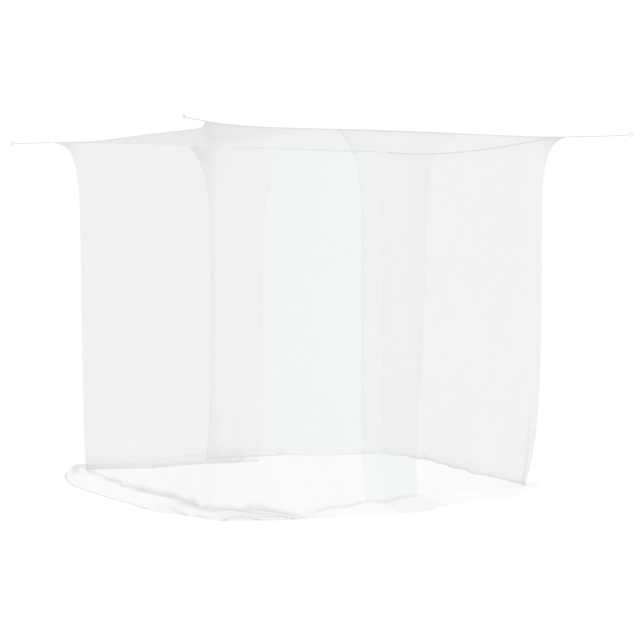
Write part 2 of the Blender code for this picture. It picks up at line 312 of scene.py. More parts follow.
@dataclass(frozen=True)
class Wall:
    """One side of the box, going round from above against the clock.

    Attributes:
        start: the name of the corner it starts from.
        end: and of the one it runs to.
        along: its direction in plan.
        out: the direction in plan that it faces.
        length: metres from corner to corner.
        edge_sag: how far its top edge hangs in the middle, or stands above the roof's corners.
        phase: where its waves of folds start, in turns.
        seam: how strongly the seam along the roof shows.
    """

    start: str
    end: str
    along: tuple[int, int, int]
    out: tuple[int, int, int]
    length: float
    edge_sag: float
    phase: float
    seam: float

    def corner_shift(self, part: str, along: np.ndarray) -> np.ndarray:
        """How far the foot or the hem is carried along the wall by its two corners.

        Args:
            part: "crease" or "hem".
            along: metres along the wall.

        Returns:
            Each corner's own shift, fading by e over CORNER_SPREAD, added up.
        """
        start = np.dot(self.along[:2], getattr(CORNERS[self.start], part))
        end = np.dot(self.along[:2], getattr(CORNERS[self.end], part))
        return (start * np.exp(-along / CORNER_SPREAD)
                + end * np.exp(-(self.length - along) / CORNER_SPREAD))

    def settled(self, along: np.ndarray) -> np.ndarray:
        """How far folds may form: 0 at the corners, and 1 minus e to the minus way from the nearer one."""
        return 1 - np.exp(-np.minimum(along, self.length - along) / CORNER_SPREAD)

    def corners(self, along: np.ndarray) -> tuple[tuple[Corner, np.ndarray], ...]:
        """Its first and its last corner, each with how far from it every place along the wall is."""
        return (CORNERS[self.start], along), (CORNERS[self.end], self.length - along)


FRONT = Wall("near", "right", along=(1, 0, 0), out=(0, -1, 0), length=LENGTH, edge_sag=-0.016,
             phase=0.00, seam=1.2)
RIGHT = Wall("right", "back", along=(0, 1, 0), out=(1, 0, 0), length=WIDTH, edge_sag=0.040,
             phase=0.30, seam=1.8)
BACK = Wall("back", "left", along=(-1, 0, 0), out=(0, 1, 0), length=LENGTH, edge_sag=-0.012,
            phase=0.62, seam=0.1)
LEFT = Wall("left", "near", along=(0, -1, 0), out=(-1, 0, 0), length=WIDTH, edge_sag=-0.010,
            phase=0.17, seam=1.1)


@dataclass(frozen=True)
class Fold:
    """A soft ridge in the cloth, from one place to another, that fades towards its far end.

    Attributes:
        start: metres along the wall, and height above the crease, or minus the way past it.
        end: the same, where the fold has faded.
        width: metres from the ridge to where it has sunk by e.
        depth: how far it stands out of the wall, or up from the floor.
        gather: how many times more cloth lies there.
        faded: how much of the fold is gone at its far end, as a share.
    """

    start: tuple[float, float]
    end: tuple[float, float]
    width: float
    depth: float
    gather: float = 0.0
    faded: float = 0.7

    def profile(self, along: np.ndarray, run: np.ndarray) -> np.ndarray:
        """The fold's height as a share: e to the minus square of the distance over the width.

        Args:
            along: metres along the wall.
            run: height above the crease, or minus the way past it.

        Returns:
            1 on the ridge's start, less towards its end, and 0 away from it.
        """
        along_way, up_way = self.end[0] - self.start[0], self.end[1] - self.start[1]
        way = (along - self.start[0]) * along_way + (run - self.start[1]) * up_way
        part = np.clip(way / (along_way**2 + up_way**2), 0.0, 1.0)
        off_along = along - self.start[0] - part * along_way
        off_up = run - self.start[1] - part * up_way
        return np.exp(-(off_along**2 + off_up**2) / self.width**2) * (1 - self.faded * part)


class Board:
    """One material's nodes, with short calls that add one and join it."""

    def __init__(self, name: str) -> None:
        """Start from a plain material.

        Args:
            name: the material's name.
        """
        self.material = bpy.data.materials.new(name)
        self.material.use_nodes = True
        self.tree = self.material.node_tree
        self.shader = self.tree.nodes["Principled BSDF"]

    def put(self, value: object, socket: bpy.types.NodeSocket) -> None:
        """Join a socket to another one, or set it to a number or a colour.

        Args:
            value: the socket, number or colour.
            socket: the input that it goes into.
        """
        if isinstance(value, bpy.types.NodeSocket):
            self.tree.links.new(value, socket)
        else:
            socket.default_value = value

    def add(self, kind: str, *values: object, out: int = 0, **settings: object) -> bpy.types.NodeSocket:
        """Add a node.

        Args:
            kind: the node's type.
            values: what its first inputs get, in order; None leaves one as it is.
            out: which output to hand on.
            settings: the node's own properties.

        Returns:
            That output.
        """
        node = self.tree.nodes.new(kind)
        for key, setting in settings.items():
            setattr(node, key, setting)
        for value, socket in zip(values, node.inputs):
            if value is not None:
                self.put(value, socket)
        return node.outputs[out]

    def math(self, operation: str, *values: object) -> bpy.types.NodeSocket:
        """A Math node's result."""
        return self.add("ShaderNodeMath", *values, operation=operation)

    def step(self, value: object, low: float, high: float) -> bpy.types.NodeSocket:
        """A smooth step from 0 at low to 1 at high, either of which may be the larger."""
        return self.add("ShaderNodeMapRange", value, low, high, 0.0, 1.0, interpolation_type="SMOOTHSTEP")

    def attribute(self, name: str) -> bpy.types.NodeSocket:
        """The value of one of the mesh's own point attributes."""
        return self.add("ShaderNodeAttribute", out=2, attribute_name=name)

    def mix(self, share: object, first: object, second: object) -> bpy.types.NodeSocket:
        """One colour turning into another.

        Args:
            share: how far it has turned, from 0 to 1.
            first: the colour at 0.
            second: the colour at 1.

        Returns:
            The mixed colour.
        """
        node = self.tree.nodes.new("ShaderNodeMix")
        node.data_type = "RGBA"
        self.put(share, node.inputs["Factor"])
        self.put(first, node.inputs[6])
        self.put(second, node.inputs[7])
        return node.outputs[2]


@dataclass(frozen=True)
class NettingFinish:
    """Sheer white netting with a six-sided mesh, and its hems and seams.

    Attributes:
        thread: the threads' colour.
        cool: their colour where the cloth looks cooler.
        hem: a hem's colour, where three layers lie on each other.
        pitch: metres from one hole to the next.
        strain: metres that the net is pulled out of its even rows here and there.
        contrast: how far the cover varies between hole and thread, as a share.
        hole_edge: how high the sum of the mesh's three waves stands where a hole begins.
        most: the most of the view that the cloth takes away anywhere.
        hem_width: metres.
        hem_blur: the share of that over which its inner edge fades, each way.
        hem_cover: how much of the view a hem takes away.
        seam_width: metres.
        seam_blur: the same as for a hem.
        seam_cover: the same.
        stitch: metres from one stitch to the next.
        stitch_row: where the stitches lie, as a share of the hem's width.
        stitch_edge: metres from the row's middle to where a stitch begins to show, and shows fully.
        stitch_beat: between which heights of a sine wave along the hem a stitch sets in.
        stitch_colour: what the hem's colour turns halfway into there.
        blotch: how far the cover varies over the cloth, as a share.
        blotch_scale: blotches to a metre.
        strain_scale: pulled places to a metre.
        roughness: of the surface.
        specular: how strongly it mirrors.
        sheen: how much it shines at a glancing view.
        thread_relief: how high a thread stands, as a share of a stitch.
        relief: how strongly the bump shows.
        relief_height: how high it is, in metres.
    """

    thread: tuple[float, ...] = (0.605, 0.605, 0.605, 1.0)
    cool: tuple[float, ...] = (0.534, 0.670, 0.638, 1.0)
    hem: tuple[float, ...] = (0.500, 0.500, 0.500, 1.0)
    pitch: float = 0.0020
    strain: float = 0.0016
    contrast: float = 0.10
    hole_edge: float = 1.2
    most: float = 0.97
    hem_width: float = 0.016
    hem_blur: float = 0.1
    hem_cover: float = 0.60
    seam_width: float = 0.008
    seam_blur: float = 0.2
    seam_cover: float = 0.45
    stitch: float = 0.0030
    stitch_row: float = 0.8
    stitch_edge: tuple[float, float] = (0.0008, 0.0003)
    stitch_beat: tuple[float, float] = (-0.3, 0.1)
    stitch_colour: tuple[float, ...] = (0.55, 0.56, 0.55, 1.0)
    blotch: float = 0.04
    blotch_scale: float = 5.0
    strain_scale: float = 90.0
    roughness: float = 0.82
    specular: float = 0.2
    sheen: float = 0.08
    thread_relief: float = 0.5
    relief: float = 0.25
    relief_height: float = 0.0002

    def even_threads(self, board: Board, cloth: bpy.types.NodeSocket) -> bpy.types.NodeSocket:
        """The mesh: three cosine waves a third of a turn apart, added up, peak at each hole.

        Args:
            board: the material's nodes.
            cloth: metres on the flat cloth.

        Returns:
            1 on a thread and 0 in a hole.
        """
        turns = 2 * math.pi / self.pitch
        waves = []
        for third in range(3):
            angle = 2 * math.pi * third / 3
            direction = (turns * math.cos(angle), turns * math.sin(angle), 0.0)
            place = board.add("ShaderNodeVectorMath", cloth, direction, out=1, operation="DOT_PRODUCT")
            waves.append(board.math("COSINE", place))
        total = board.math("ADD", board.math("ADD", waves[0], waves[1]), waves[2])
        return board.step(total, self.hole_edge, 0.0)

    def threads(self, board: Board, cloth: bpy.types.NodeSocket) -> bpy.types.NodeSocket:
        """The mesh's threads, pulled out of their even rows by a fine noise.

        Args:
            board: the material's nodes.
            cloth: metres on the flat cloth.

        Returns:
            1 on a thread and 0 in a hole.
        """
        place = board.add("ShaderNodeTexCoord", out=3)
        pulls = board.add("ShaderNodeTexNoise", place, None, self.strain_scale, 1.0, out=1)
        strained = board.add("ShaderNodeVectorMath", pulls, (self.strain,) * 3, cloth,
                             operation="MULTIPLY_ADD")
        return self.even_threads(board, strained)

    def net_cover(self, board: Board, threads: bpy.types.NodeSocket) -> bpy.types.NodeSocket:
        """How much of the view the net takes away: its cover attribute, times its threads and a blotch.

        Args:
            board: the material's nodes.
            threads: 1 on a thread and 0 in a hole.

        Returns:
            The share.
        """
        place = board.add("ShaderNodeTexCoord", out=3)
        blotches = board.add("ShaderNodeTexNoise", place, None, self.blotch_scale, 2.0)
        share = board.math("MULTIPLY_ADD", threads, 2 * self.contrast, 1 - self.contrast)
        drift = board.math("MULTIPLY_ADD", blotches, 2 * self.blotch, 1 - self.blotch)
        return board.math("MULTIPLY", board.math("MULTIPLY", share, drift), board.attribute("cover"))

    def strip(self, board: Board, name: str, width: float, blur: float) -> bpy.types.NodeSocket:
        """A hem or a seam: its weight attribute, within its width of the edge.

        Args:
            board: the material's nodes.
            name: "hem" or "seam", with which its attributes' names start.
            width: metres.
            blur: the share of the width over which it fades, each way.

        Returns:
            How strongly it shows.
        """
        inside = board.step(board.attribute(f"{name}_edge"), width * (1 + blur), width * (1 - blur))
        return board.math("MULTIPLY", inside, board.attribute(f"{name}_weight"))

    def stitches(self, board: Board, cloth: bpy.types.NodeSocket,
                 hemmed: bpy.types.NodeSocket) -> bpy.types.NodeSocket:
        """One row of stitches along the hem, each where a sine wave along the cloth is high.

        Args:
            board: the material's nodes.
            cloth: metres on the flat cloth.
            hemmed: how strongly the hem shows.

        Returns:
            How strongly a stitch shows.
        """
        row = self.hem_width * self.stitch_row
        off_row = board.math("ABSOLUTE", board.math("SUBTRACT", board.attribute("hem_edge"), row))
        along = board.add("ShaderNodeVectorMath", cloth, (1.0, 1.0, 0.0), out=1, operation="DOT_PRODUCT")
        beat = board.math("SINE", board.math("MULTIPLY", along, 2 * math.pi / self.stitch))
        shown = board.math("MULTIPLY", board.step(off_row, *self.stitch_edge),
                           board.step(beat, *self.stitch_beat))
        return board.math("MULTIPLY", shown, hemmed)

    def material(self, name: str, flat: tuple[float, float]) -> bpy.types.Material:
        """Make the finish for one sheet.

        The net, its hems and its seams each take away their own share of the view, and the largest
        of the three counts.

        Args:
            name: the sheet's name.
            flat: the size of the flat cloth, for the scale of its net.

        Returns:
            The material.
        """
        board = Board(f"netting_{name}")
        uv = board.add("ShaderNodeUVMap", uv_map="cloth")
        cloth = board.add("ShaderNodeVectorMath", uv, (*flat, 0.0), operation="MULTIPLY")
        threads = self.threads(board, cloth)
        hemmed = self.strip(board, "hem", self.hem_width, self.hem_blur)
        sewn = self.strip(board, "seam", self.seam_width, self.seam_blur)
        covered = board.math("MAXIMUM", board.math("MULTIPLY", hemmed, self.hem_cover),
                             board.math("MULTIPLY", sewn, self.seam_cover))
        cover = board.math("MAXIMUM", self.net_cover(board, threads), covered)
        board.put(board.math("MINIMUM", cover, self.most), board.shader.inputs["Alpha"])

        stitches = self.stitches(board, cloth, hemmed)
        colour = board.mix(board.attribute("cool"), self.thread, self.cool)
        colour = board.mix(hemmed, colour, self.hem)
        colour = board.mix(board.math("MULTIPLY", stitches, 0.5), colour, self.stitch_colour)
        board.put(colour, board.shader.inputs["Base Color"])
        board.shader.inputs["Roughness"].default_value = self.roughness
        board.shader.inputs["Specular IOR Level"].default_value = self.specular
        board.shader.inputs["Sheen Weight"].default_value = self.sheen

        height = board.math("ADD", board.math("MULTIPLY", threads, self.thread_relief), stitches)
        bump = board.add("ShaderNodeBump", self.relief, self.relief_height, None, height)
        board.put(bump, board.shader.inputs["Normal"])
        return board.material


@dataclass(frozen=True)
class CordFinish:
    """Thin braided cord: strands that wind both ways round it.

    Attributes:
        strand: the strands' colour.
        groove: the colour between them, darker as painted shade in the grooves.
        turns: how many strands wind each way.
        lay_length: metres along the cord for one strand's full turn.
        edges: between which heights of the two waves' product a strand rises out of its groove.
        dust: how far its colour varies, as a share.
        dusty: how much of the strands' colour shows where there is the most dust.
        dust_scale: dusty places to a metre.
        roughness: of the surface.
        relief: how strongly the bump shows.
        relief_height: how high it is, in metres.
    """

    strand: tuple[float, ...] = (0.68, 0.69, 0.68, 1.0)
    groove: tuple[float, ...] = (0.46, 0.47, 0.46, 1.0)
    turns: int = 4
    lay_length: float = 0.016
    edges: tuple[float, float] = (0.05, 0.55)
    dust: float = 0.3
    dusty: float = 0.75
    dust_scale: float = 60.0
    roughness: float = 0.7
    relief: float = 0.5
    relief_height: float = 0.0003

    def material(self, name: str, length: float) -> bpy.types.Material:
        """Make the finish for one cord or eye.

        Two waves wind round the cord, one each way. A strand shows where either is high, and between the
        strands the colour is darker as painted shade.

        Args:
            name: the piece's name.
            length: metres along its middle.

        Returns:
            The material.
        """
        board = Board(f"cord_{name}")
        uv = board.add("ShaderNodeUVMap", uv_map="cord")
        round_it = 2 * math.pi * self.turns
        bands = []
        for way in (1, -1):
            winding = (round_it * way, round_it * length / self.lay_length, 0.0)
            place = board.add("ShaderNodeVectorMath", uv, winding, out=1, operation="DOT_PRODUCT")
            bands.append(board.math("ABSOLUTE", board.math("SINE", place)))
        raised = board.step(board.math("MULTIPLY", *bands), *self.edges)
        place = board.add("ShaderNodeTexCoord", out=3)
        clean = board.add("ShaderNodeTexNoise", place, None, self.dust_scale, 3.0)
        shown = board.math("MULTIPLY", raised, board.math("MULTIPLY_ADD", clean, self.dust, self.dusty))
        # Between the strands the colour turns into the groove colour: painted shade in the grooves.
        board.put(board.mix(shown, self.groove, self.strand), board.shader.inputs["Base Color"])
        board.shader.inputs["Roughness"].default_value = self.roughness
        bump = board.add("ShaderNodeBump", self.relief, self.relief_height, None, raised)
        board.put(bump, board.shader.inputs["Normal"])
        return board.material


NETTING = NettingFinish()
CORD = CordFinish()


def face_corners(points: np.ndarray) -> np.ndarray:
    """The four points of each cell of a grid, going down a row and then across a column."""
    return np.stack((points[:-1, :-1], points[1:, :-1], points[1:, 1:], points[:-1, 1:]), axis=-1)


def grid_mesh(name: str, places: np.ndarray, uv: np.ndarray, uv_name: str,
              closed: bool = False) -> bpy.types.Mesh:
    """Make a smooth mesh of four-sided faces from a grid of places.

    A face points the way that down crossed with across does.

    Args:
        name: the mesh's name.
        places: rows by columns by three.
        uv: rows by columns by two, on the points.
        uv_name: the UV map's name.
        closed: whether the last row meets the first, as on a ring.

    Returns:
        The mesh.
    """
    rows, columns = places.shape[:2]
    points = np.arange(rows * columns).reshape(rows, columns)
    joined = np.vstack((points[:-1], points[:1])) if closed else points
    mesh = bpy.data.meshes.new(name)
    mesh.from_pydata(places.reshape(-1, 3), [], face_corners(joined).reshape(-1, 4))
    layer = mesh.uv_layers.new(name=uv_name)
    on_loops = uv.reshape(-1, 2)[face_corners(points).ravel()]
    layer.data.foreach_set("uv", on_loops.astype(np.float32).ravel())
    mesh.shade_smooth()
    return mesh


def give_marks(mesh: bpy.types.Mesh, marks: dict[str, np.ndarray]) -> None:
    """Store numbers at each point of a mesh, for its finish to read.

    Args:
        mesh: the mesh.
        marks: each attribute's name, and its number at every point.
    """
    for name, values in marks.items():
        store = mesh.attributes.new(name, "FLOAT", "POINT")
        store.data.foreach_set("value", np.ascontiguousarray(values, dtype=np.float32).ravel())


def grid_area(places: np.ndarray) -> float:
    """The area of a grid of places, on one side.

    Each cell counts as the parallelogram on its first row's and first column's edges.

    Args:
        places: rows by columns by three.

    Returns:
        Square metres.
    """
    across = np.diff(places, axis=1)[:-1]
    down = np.diff(places, axis=0)[:, :-1]
    return float(np.linalg.norm(np.cross(across, down), axis=2).sum())


def add_piece(mesh: bpy.types.Mesh, name: str, material: bpy.types.Material, slot: str) -> bpy.types.Object:
    """Put a mesh in the scene as a piece that stands for the solid of the same name.

    Args:
        mesh: its mesh, already in place.
        name: the solid's name.
        material: its finish.
        slot: the record's material slot.

    Returns:
        The piece.
    """
    piece = bpy.data.objects.new(f"{name}_cloth" if slot == "netting" else f"{name}_braid", mesh)
    piece.data.materials.append(material)
    # Net this sheer casts no shadow that shows, and light that bounces about goes through it.
    piece.visible_shadow = slot != "netting"
    piece.visible_diffuse = slot != "netting"
    bpy.context.scene.collection.objects.link(piece)
    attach(piece, BODY)
    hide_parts(name)
    return piece


@dataclass
class Stations:
    """Where each point of a wall sheet belongs, as whole arrays.

    Attributes:
        along: metres along the wall.
        height: metres above the crease.
        depth: metres below the roof.
        skirt: the share of the way from the crease to the hem.
        width: the skirt's width there, in metres.
        to_low: metres to the sheet's side edge at its low end.
        to_high: and at its high end.
    """

    along: np.ndarray
    height: np.ndarray
    depth: np.ndarray
    skirt: np.ndarray
    width: np.ndarray
    to_low: np.ndarray
    to_high: np.ndarray

    @property
    def way(self) -> np.ndarray:
        """Metres from the crease, on the skirt."""
        return self.skirt * self.width

    @property
    def to_hem(self) -> np.ndarray:
        """Metres to the hem, on the skirt."""
        return (1 - self.skirt) * self.width

    @property
    def run(self) -> np.ndarray:
        """Height above the crease, or minus the way past it on the skirt."""
        return self.height - self.way

    @property
    def flare(self) -> np.ndarray:
        """How much of what happens at the foot is felt: e to the minus height over FLARE_HEIGHT."""
        return np.exp(-self.height / FLARE_HEIGHT)


@dataclass(frozen=True)
class WallSheet:
    """One sheet of a wall, from the roof's seam down to the crease and out to the hem.

    Attributes:
        name: the solid that it stands for.
        wall: the wall that it belongs to.
        feet: rows of metres along the wall, how far out the crease is, and how far out the hem is.
        span: its two ends along the wall.
        covers: rows of metres along the wall, how much of the view the net takes away above, how much
            at its foot, and how much on the skirt.
        bunching: rows of metres along the wall, how many more layers' worth of net the crease has,
            and how high that reaches.
        wrinkles: rows of metres along the wall, and how strong the skirt's wrinkles are.
        hem_weights: rows of metres along the wall, and how strongly the hem shows on the floor.
        spread: how far each free end spreads at the roof.
        shoulder: the depth over which that fades by e.
        drift: how far each free end drifts at the floor.
        drift_height: the height over which that fades by e.
        lies_on: where along the wall this curtain has left the one under it.
        folds: the creases given one by one.
        foot_height: the height over which the foot's cover turns into that above.
        side_hem: how strongly the hem of a free end shows.
        side_hem_width: how wide it is, with the net that is drawn into it.
        edge_bunch: how many more layers' worth of net is drawn together along a free end at the roof.
        edge_width: how far in from that end.
        cool: the stretch along the wall, and the stretch of height, where the cloth looks cooler.
    """

    name: str
    wall: Wall
    feet: tuple[tuple[float, float, float], ...]
    span: tuple[float, float]
    covers: tuple[tuple[float, float, float, float], ...]
    bunching: tuple[tuple[float, float, float], ...]
    wrinkles: tuple[tuple[float, float], ...]
    hem_weights: tuple[tuple[float, float], ...]
    spread: tuple[float, float] = (0.0, 0.0)
    shoulder: float = HORN_DEPTH
    drift: tuple[float, float] = (0.0, 0.0)
    drift_height: float = DRIFT_HEIGHT
    lies_on: float | None = None
    folds: tuple[Fold, ...] = ()
    foot_height: float = FOOT_HEIGHT
    side_hem: float = 0.3
    side_hem_width: float = 0.016
    edge_bunch: float = 0.0
    edge_width: float = 0.03
    cool: tuple[tuple[float, float], tuple[float, float]] | None = None

    @property
    def edges(self) -> tuple[Edge, Edge]:
        """What its low and its high end are: sewn where the sheet reaches a corner.

        Returns:
            The kind of each.
        """
        low = Edge.SEWN if self.span[0] == 0.0 else Edge.FREE
        high = Edge.SEWN if self.span[1] == self.wall.length else Edge.FREE
        return low, high

    def foot_tables(self) -> tuple[np.ndarray, np.ndarray, np.ndarray]:
        """The foot's rows, with those of the corners that the sheet reaches.

        Returns:
            Metres along the wall, how far out the crease is, and how far out the hem is.
        """
        rows = list(self.feet)
        ends = ((self.wall.start, 0.0, self.edges[0]), (self.wall.end, self.wall.length, self.edges[1]))
        for name, place, edge in ends:
            if edge is Edge.SEWN:
                corner = CORNERS[name]
                out = np.array(self.wall.out[:2])
                rows.append((place, float(out @ corner.crease), float(out @ corner.hem)))
        stations, crease, hem = np.array(sorted(rows)).T
        return stations, crease, hem

    def lay_out(self, across: np.ndarray, down: np.ndarray) -> Stations:
        """Where each of the grid's points belongs on the wall.

        Rows are drawn towards the roof and the crease, and columns towards the side edges. A free end
        spreads at the roof by e to the minus depth over the shoulder, and drifts at the floor by e to
        the minus height over its drift_height.

        Args:
            across: 0 at the low end and 1 at the high one.
            down: 0 at the roof and 1 at the hem.

        Returns:
            The stations.
        """
        wall_part = np.clip(down / CREASE_SHARE, 0.0, 1.0)
        skirt_part = np.clip((down - CREASE_SHARE) / (1 - CREASE_SHARE), 0.0, 1.0)
        skirt = crowded(skirt_part, SKIRT_CROWDING)
        height = (HEIGHT - TOP_INSET) * (1 - crowded(wall_part, ROW_CROWDING))
        depth = HEIGHT - height
        roof_share, floor_share = np.exp(-depth / self.shoulder), np.exp(-height / self.drift_height)
        low = self.span[0] + self.spread[0] * roof_share + self.drift[0] * floor_share
        high = self.span[1] + self.spread[1] * roof_share + self.drift[1] * floor_share
        along = low + (high - low) * crowded(across, COLUMN_CROWDING)
        stations, crease_row, hem_row = self.foot_tables()
        width = smooth_through(stations, hem_row, along) - smooth_through(stations, crease_row, along)
        return Stations(along, height, depth, skirt, np.abs(width), along - low, high - along)

    def wrinkling(self, at: Stations) -> np.ndarray:
        """How high the skirt's wrinkles stand: the waves' upper halves, times their strength there.

        Args:
            at: where each point belongs.

        Returns:
            One number each, 0 between the wrinkles.
        """
        (strength,) = read_rows(self.wrinkles, at.along)
        crests = np.clip(wrinkled(at.way, at.along, self.wall.phase), 0.0, 1.0)
        return strength * crests * ramp(at.way / WRINKLE_START)

    def footing(self, at: Stations) -> tuple[np.ndarray, np.ndarray, np.ndarray]:
        """How the wall stands at its foot, and how its skirt lies.

        The foot pushes the wall outwards, with upright folds in it, and the skirt goes on from the
        crease to the hem, which wavers. Low ridges, wrinkles and heaps at the corners lift the skirt.

        Args:
            at: where each point belongs.

        Returns:
            Metres outwards, metres along the wall, and metres up off the floor.
        """
        wall = self.wall
        stations, crease_row, hem_row = self.foot_tables()
        crease = smooth_through(stations, crease_row, at.along)
        hem = smooth_through(stations, hem_row, at.along)
        settled = wall.settled(at.along)
        upright = FOLD_DEPTH * settled * uneven(at.along, FOLD_PITCHES, wall.phase)
        upright = upright * np.exp(-at.height / FOLD_HEIGHT)
        waver = HEM_WAVER * settled * uneven(at.along, HEM_PITCHES, wall.phase) * at.skirt**3
        out = (crease + (hem - crease) * at.skirt) * at.flare + upright * (1 - at.skirt) + waver
        shift = (wall.corner_shift("crease", at.along) * (1 - at.skirt)
                 + wall.corner_shift("hem", at.along) * at.skirt) * at.flare
        ridge = RIPPLE_LIFT * settled * (0.5 + 0.5 * uneven(at.along, RIPPLE_PITCHES, wall.phase))
        lift = ridge * np.sin(np.pi * np.clip(out / np.maximum(hem, NARROWEST), 0.0, 1.0)) ** 2
        lift = lift + WRINKLE_LIFT * self.wrinkling(at) * ramp(at.to_hem / HEM_ROLL)
        lift = lift + HEM_LIFT * np.exp(-(at.to_hem / HEM_ROLL) ** 2) * ramp(at.way / SKIRT_START)
        dome = np.clip(np.sin(np.pi * at.skirt), 0.0, 1.0) ** HEAP_BLUNTNESS
        for corner, distance in wall.corners(at.along):
            lift = lift + corner.heap * np.exp(-distance / HEAP_WIDTH) * dome
        return out, shift, lift * at.flare

    def layer(self, at: Stations) -> tuple[np.ndarray, np.ndarray]:
        """How a curtain that lies on another keeps clear of it.

        The gap grows from LAYER_TOP at the roof to LAYER_LOW, by e over LAYER_DEPTH, and fades past the
        place where this curtain has left the other.

        Args:
            at: where each point belongs.

        Returns:
            Metres outwards and metres up.
        """
        if self.lies_on is None:
            return np.zeros_like(at.along), np.zeros_like(at.along)
        onwards = 1 if self.edges[0] is Edge.FREE else -1
        share = 1 - ramp((at.along - self.lies_on) * onwards / LAYER_FADE)
        parted = LAYER_TOP + (LAYER_LOW - LAYER_TOP) * (1 - np.exp(-at.depth / LAYER_DEPTH))
        return parted * share, LAYER_FLOOR * share * at.flare

    def creased(self, at: Stations) -> tuple[np.ndarray, np.ndarray]:
        """How the listed folds stand out of the wall and lift the skirt.

        Args:
            at: where each point belongs.

        Returns:
            Metres outwards and metres up.
        """
        height = sum(fold.depth * fold.profile(at.along, at.run) for fold in self.folds)
        standing = ramp(at.height / FOLD_STANDING)
        return height * standing, height * (1 - standing)

    def surface(self, at: Stations) -> np.ndarray:
        """The cloth's places.

        The foot, the layer under the sheet and its folds move it outwards and up, its top edge sags as
        a parabola that is less further down, and each corner's tie draws it out.

        Args:
            at: where each point belongs.

        Returns:
            The places, one row each.
        """
        wall = self.wall
        out, shift, lift = self.footing(at)
        sag = wall.edge_sag * bow(at.along / wall.length) * at.height / HEIGHT
        rise = at.height - sag + CLOTH / 2 + lift
        for outwards, upwards in (self.layer(at), self.creased(at)):
            out = out + outwards
            rise = rise + upwards
        first = CORNERS[wall.start]
        origin = np.array((first.side[0] * LENGTH / 2, first.side[1] * WIDTH / 2, -HEIGHT))
        places = origin + np.outer(at.along + shift, wall.along)
        places = moved(moved(places, out, wall.out), rise, UP)
        for corner, distance in wall.corners(at.along):
            ways = (distance, 0.0) if wall.along[0] else (0.0, distance)
            drawn, lifted = corner.pull(ways, at.depth - TOP_INSET)
            places = moved(moved(places, drawn, corner.diagonal), lifted, UP)
        return places

    def dense(self, at: Stations) -> np.ndarray:
        """How much of the view the net takes away at each point.

        The sheet's own cover, which turns into its foot's by e to the minus square of the height over
        foot_height and into the skirt's past the crease, times the layers' worth of net there: one,
        plus what is bunched in the crease, in the wrinkles, in the folds, along a free end and in the
        corners' tips.

        Args:
            at: where each point belongs.

        Returns:
            The cover, one number each.
        """
        above, foot, skirt = read_rows(self.covers, at.along)
        cover = above + (foot - above) * np.exp(-(at.height / self.foot_height) ** 2)
        cover = cover + (skirt - foot) * ramp(at.way / SKIRT_START)
        strength, reach = read_rows(self.bunching, at.along)
        reach = np.where(at.run < 0, reach * CREASE_SPILL, reach)
        gather = 1 + strength * np.exp(-(at.run / reach) ** 2) + WRINKLE_GATHER * self.wrinkling(at)
        for fold in self.folds:
            gather = gather + fold.gather * fold.profile(at.along, at.run)
        for edge, metres in zip(self.edges, (at.to_low, at.to_high)):
            if edge is Edge.FREE:
                fading = metres / self.edge_width + (at.depth / self.shoulder) ** 2
                gather = gather + self.edge_bunch * np.exp(-fading)
        for corner, distance in self.wall.corners(at.along):
            gather = gather + corner.bunch * np.exp(-distance / TIP_WIDTH - at.depth / corner.bunch_depth)
        return cover * gather

    def coolness(self, at: Stations) -> np.ndarray:
        """How far each point's colour has turned into the cooler one.

        It turns by a smooth step over COOL_FADE at each end of the two stretches.

        Args:
            at: where each point belongs.

        Returns:
            From 0 to 1.
        """
        if self.cool is None:
            return np.zeros_like(at.along)
        shares = [ramp((place - low) / COOL_FADE) * ramp((high - place) / COOL_FADE)
                  for place, (low, high) in zip((at.along, at.run), self.cool)]
        return shares[0] * shares[1]

    def marks(self, at: Stations) -> dict[str, np.ndarray]:
        """What the finish reads at each point: its nearest hem and seam, the cover and the coolness.

        Args:
            at: where each point belongs.

        Returns:
            Each attribute's name and numbers. An edge is metres to it, and a weight how strongly it
            shows.
        """
        hem_edge = at.height + at.to_hem
        seam_edge = at.depth - TOP_INSET
        (hem_weight,) = read_rows(self.hem_weights, at.along)
        seam_weight = np.full_like(at.along, self.wall.seam)
        ends = zip(self.edges, (at.to_low, at.to_high), self.wall.corners(at.along))
        for edge, metres, (corner, _) in ends:
            if edge is Edge.FREE:
                scaled = metres * NETTING.hem_width / self.side_hem_width
                hem_weight = np.where(scaled < hem_edge, self.side_hem, hem_weight)
                hem_edge = np.minimum(scaled, hem_edge)
            else:
                upright = corner.seam * (1 - at.skirt) * np.exp(-at.height / SEAM_FADE)
                seam_weight = np.where(metres < seam_edge, upright, seam_weight)
                seam_edge = np.minimum(metres, seam_edge)
        return {"hem_edge": hem_edge, "hem_weight": hem_weight, "seam_edge": seam_edge,
                "seam_weight": seam_weight, "cover": self.dense(at), "cool": self.coolness(at)}

    def build(self) -> bpy.types.Object:
        """The flat cloth's width is the sheet's span, and its length the mean of its columns' lengths.

        Returns:
            The piece.
        """
        rows = np.concatenate((np.linspace(0.0, CREASE_SHARE, WALL_ROWS + 1),
                               np.linspace(CREASE_SHARE, 1.0, SKIRT_ROWS + 1)[1:]))
        across, down = np.meshgrid(np.linspace(0.0, 1.0, WALL_COLUMNS + 1), rows)
        at = self.lay_out(across.ravel(), down.ravel())
        places = self.surface(at).reshape(*across.shape, 3)

        steps = np.linalg.norm(np.diff(places, axis=0), axis=2).mean(axis=1)
        runs = np.concatenate(((0.0,), np.cumsum(steps)))
        flat = (self.span[1] - self.span[0], float(runs[-1]))
        left_over = np.repeat(1 - runs[:, None] / runs[-1], across.shape[1], 1)
        uv = np.stack((crowded(across, COLUMN_CROWDING), left_over), -1)
        mesh = grid_mesh(self.name, places, uv, "cloth")
        give_marks(mesh, self.marks(at))

        piece = add_piece(mesh, self.name, NETTING.material(self.name, flat), "netting")
        log.info("%s: %.2f by %.2f m flat, %.2f square metres hung", self.name, *flat, grid_area(places))
        return piece


